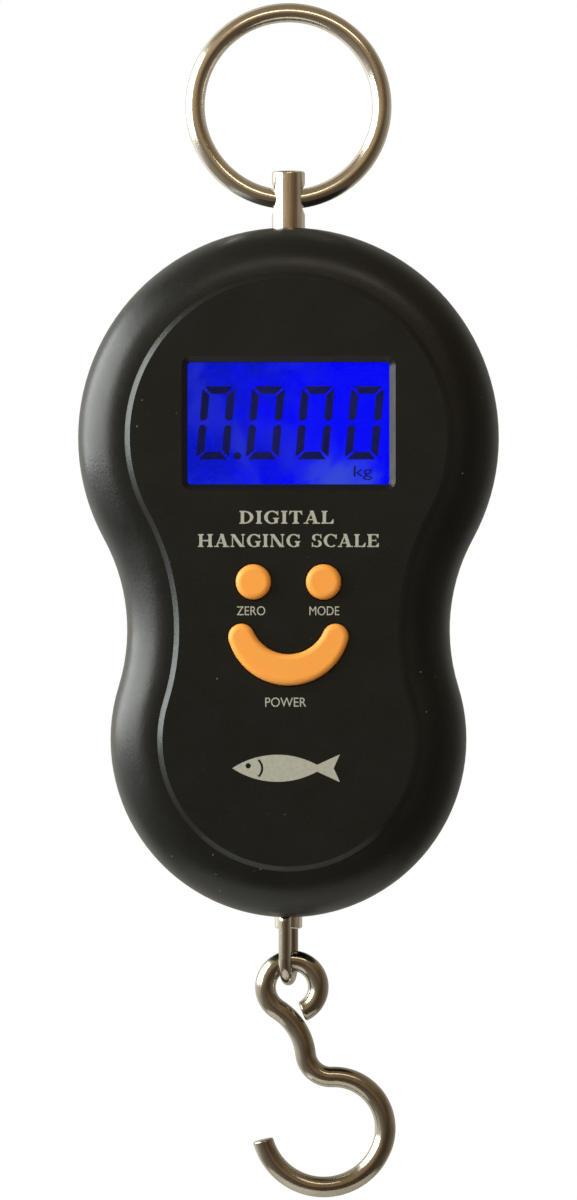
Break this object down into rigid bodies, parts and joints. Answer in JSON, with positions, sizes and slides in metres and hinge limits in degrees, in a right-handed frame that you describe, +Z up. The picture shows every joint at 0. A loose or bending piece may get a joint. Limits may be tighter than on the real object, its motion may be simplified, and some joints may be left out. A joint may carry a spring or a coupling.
{
  "type": "digital hanging fish scale",
  "caption": "Pocket digital hanging scale: waisted black case with display and push buttons, steel carrying ring above, wire link and hook below.",
  "frame": {"origin": "inside of the carrying ring's top, the point that a hand or hook carries", "axes": "+Z up along the load line, the display faces -Y, +X to the reader's right"},
  "size_m": [0.061, 0.0249, 0.1739],
  "materials": {
    "ring_steel": "bright nickel plate",
    "post_steel": "nickel-plated steel",
    "link_steel": "bright nickel plate",
    "hook_steel": "bright nickel plate",
    "black_shell": "fine-textured black ABS",
    "black_shell_rear": "fine-textured black ABS",
    "black_door": "fine-textured black ABS",
    "clear_window": "clear acrylic",
    "lcd_glass": "liquid crystal cell",
    "backlight": "blue-lit light guide",
    "silicone_strip": "striped silicone connector",
    "white_frame": "white moulded frame",
    "board": "green solder mask",
    "resin": "black potting resin",
    "components": "small electronic parts",
    "switch_body": "black switch base",
    "switch_plunger": "grey switch plunger",
    "orange_button": "satin orange moulding",
    "aluminium_bar": "machined aluminium",
    "pin_steel": "steel pin",
    "gauge_foil": "foil gauge on amber film",
    "sealant": "white silicone sealant",
    "gauge_wire": "enamelled leads",
    "battery_can": "printed metal jacket",
    "contact_plate": "nickel-plated spring steel",
    "spring_wire": "spring wire",
    "red_lead": "red insulated lead",
    "black_lead": "black insulated lead",
    "screw_steel": "zinc-plated screw"
  },
  "bodies": {
    "ring": {"hanging_ring": "ring_steel"},
    "case": {"front_shell": "black_shell", "rear_shell": "black_shell_rear", "ring_post": "post_steel", "link_post": "post_steel", "display_window": "clear_window", "lcd_panel": "lcd_glass", "lcd_backlight": "backlight", "lcd_connector": "silicone_strip", "lcd_frame": "white_frame", "circuit_board": "board", "controller_chip": "resin", "board_components": "components", "tare_switch": "switch_body", "unit_switch": "switch_body", "power_switch": "switch_body", "load_cell": "aluminium_bar", "post_pins": "pin_steel", "strain_gauges": "gauge_foil", "gauge_sealant": "sealant", "load_cell_wires": "gauge_wire", "battery_left": "battery_can", "battery_right": "battery_can", "positive_contact": "contact_plate", "negative_contact": "contact_plate", "bridge_contact": "contact_plate", "battery_springs": "spring_wire", "battery_lead_red": "red_lead", "battery_lead_black": "black_lead", "case_screws": "screw_steel", "board_screws": "screw_steel"},
    "tare": {"tare_button": "orange_button", "tare_plunger": "switch_plunger"},
    "unit": {"unit_button": "orange_button", "unit_plunger": "switch_plunger"},
    "power": {"power_button": "orange_button", "power_plunger": "switch_plunger"},
    "door": {"battery_door": "black_door"},
    "link": {"hook_link": "link_steel"},
    "hook": {"hook": "hook_steel"}
  },
  "joints": [
    {"name": "case_swing", "type": "hinge", "parent": "ring", "child": "case", "pos_m": [0, 0, -0.0258], "axis": [1, 0, 0], "range_deg": [-90, 90]},
    {"name": "tare_press", "type": "slide", "parent": "case", "child": "tare", "axis": [0, 1, 0], "range_m": [0, 0.0005], "stiffness_N_per_m": 800, "springref_m": -0.0003},
    {"name": "unit_press", "type": "slide", "parent": "case", "child": "unit", "axis": [0, 1, 0], "range_m": [0, 0.0005], "stiffness_N_per_m": 800, "springref_m": -0.0003},
    {"name": "power_press", "type": "slide", "parent": "case", "child": "power", "axis": [0, 1, 0], "range_m": [0, 0.0005], "stiffness_N_per_m": 800, "springref_m": -0.0003},
    {"name": "door_open", "type": "hinge", "parent": "case", "child": "door", "pos_m": [0, 0.012, -0.0523], "axis": [1, 0, 0], "range_deg": [0, 105]},
    {"name": "link_swing", "type": "hinge", "parent": "case", "child": "link", "pos_m": [0, 0, -0.1286], "axis": [0.1736, 0.9848, 0], "range_deg": [-50, 50]},
    {"name": "hook_swing", "type": "hinge", "parent": "link", "child": "hook", "pos_m": [0, 0, -0.1366], "axis": [1, 0, 0], "range_deg": [-75, 75]}
  ]
}
